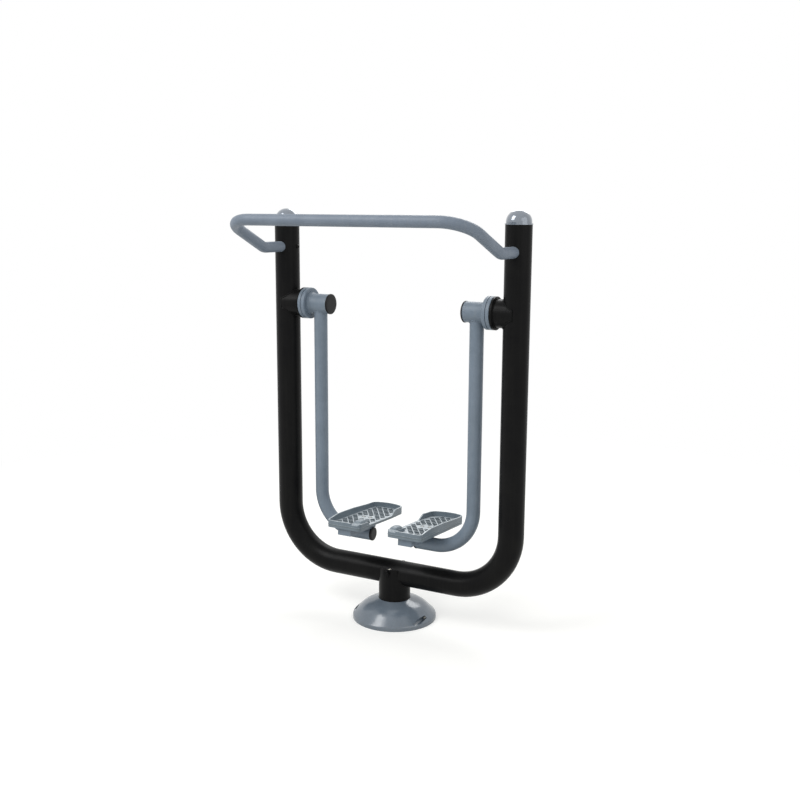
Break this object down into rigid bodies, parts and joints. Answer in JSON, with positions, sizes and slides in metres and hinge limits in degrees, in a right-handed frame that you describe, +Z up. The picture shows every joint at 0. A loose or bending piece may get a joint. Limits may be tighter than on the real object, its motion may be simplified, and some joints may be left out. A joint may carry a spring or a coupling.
{
  "type": "outdoor air walker",
  "caption": "Outdoor air walker: a bent tube frame on a round covered pedestal carries two freely swinging arms with patterned footplates and a raised handlebar loop.",
  "frame": {"origin": "centre of the anchor bolt circle, on the underside of the base plate at ground level", "axes": "+Z up, +X along the frame from the left post to the right post, -Y to the front, where the handlebar stands out"},
  "size_m": [0.993, 0.5914, 1.468],
  "materials": {
    "frame_paint": "black powder coat, satin",
    "bar_paint": "grey powder coat, satin",
    "arm_paint": "grey powder coat, satin",
    "pedal_paint": "cast, grey powder coat",
    "cover_paint": "cast, grey powder coat",
    "cap_gloss": "moulded, glossy grey",
    "black_plastic": "moulded, matt black",
    "black_rubber": "matt black",
    "zinc_steel": "zinc plated",
    "ground_steel": "ground and oiled"
  },
  "bodies": {
    "frame": {"base_plate": "frame_paint", "base_gussets": "frame_paint", "pedestal_column": "frame_paint", "main_frame": "frame_paint", "axle_stub_right": "frame_paint", "axle_stub_left": "frame_paint", "axle_disc_right": "frame_paint", "axle_disc_left": "frame_paint", "handlebar": "bar_paint", "base_cover_front": "cover_paint", "base_cover_rear": "cover_paint", "post_cap_right": "cap_gloss", "post_cap_left": "cap_gloss", "stop_buffer_right": "black_rubber", "stop_buffer_left": "black_rubber", "base_cover_screws": "zinc_steel", "frame_spacers": "zinc_steel", "frame_bolt": "zinc_steel", "frame_nut": "zinc_steel", "frame_washers": "zinc_steel", "handlebar_inserts": "zinc_steel", "handlebar_screws": "zinc_steel", "axle_washer_right": "zinc_steel", "axle_washer_left": "zinc_steel", "axle_nut_right": "zinc_steel", "axle_nut_left": "zinc_steel", "axle_shaft_right": "ground_steel", "axle_shaft_left": "ground_steel", "stop_pin_right": "ground_steel", "stop_pin_left": "ground_steel", "bearing_inner_right": "ground_steel", "bearing_inner_left": "ground_steel", "bearing_spacer_right": "ground_steel", "bearing_spacer_left": "ground_steel"},
    "arm_left": {"hub_left": "arm_paint", "swing_arm_left": "arm_paint", "pedal_carrier_left": "arm_paint", "pedal_left": "pedal_paint", "arm_plug_left": "black_plastic", "hub_cap_left": "black_plastic", "hub_seal_left": "black_rubber", "pedal_bolts_left": "zinc_steel", "pedal_nuts_left": "zinc_steel", "bearing_outer_left": "ground_steel", "circlip_left": "ground_steel"},
    "arm_right": {"hub_right": "arm_paint", "swing_arm_right": "arm_paint", "pedal_carrier_right": "arm_paint", "pedal_right": "pedal_paint", "arm_plug_right": "black_plastic", "hub_cap_right": "black_plastic", "hub_seal_right": "black_rubber", "pedal_bolts_right": "zinc_steel", "pedal_nuts_right": "zinc_steel", "bearing_outer_right": "ground_steel", "circlip_right": "ground_steel"}
  },
  "joints": [
    {"name": "swing_right", "type": "hinge", "parent": "frame", "child": "arm_right", "pos_m": [0.3085, 0, 1.13], "axis": [1, 0, 0], "range_deg": [-45, 45]},
    {"name": "swing_left", "type": "hinge", "parent": "frame", "child": "arm_left", "pos_m": [-0.3085, 0, 1.13], "axis": [1, 0, 0], "range_deg": [-45, 45]}
  ]
}
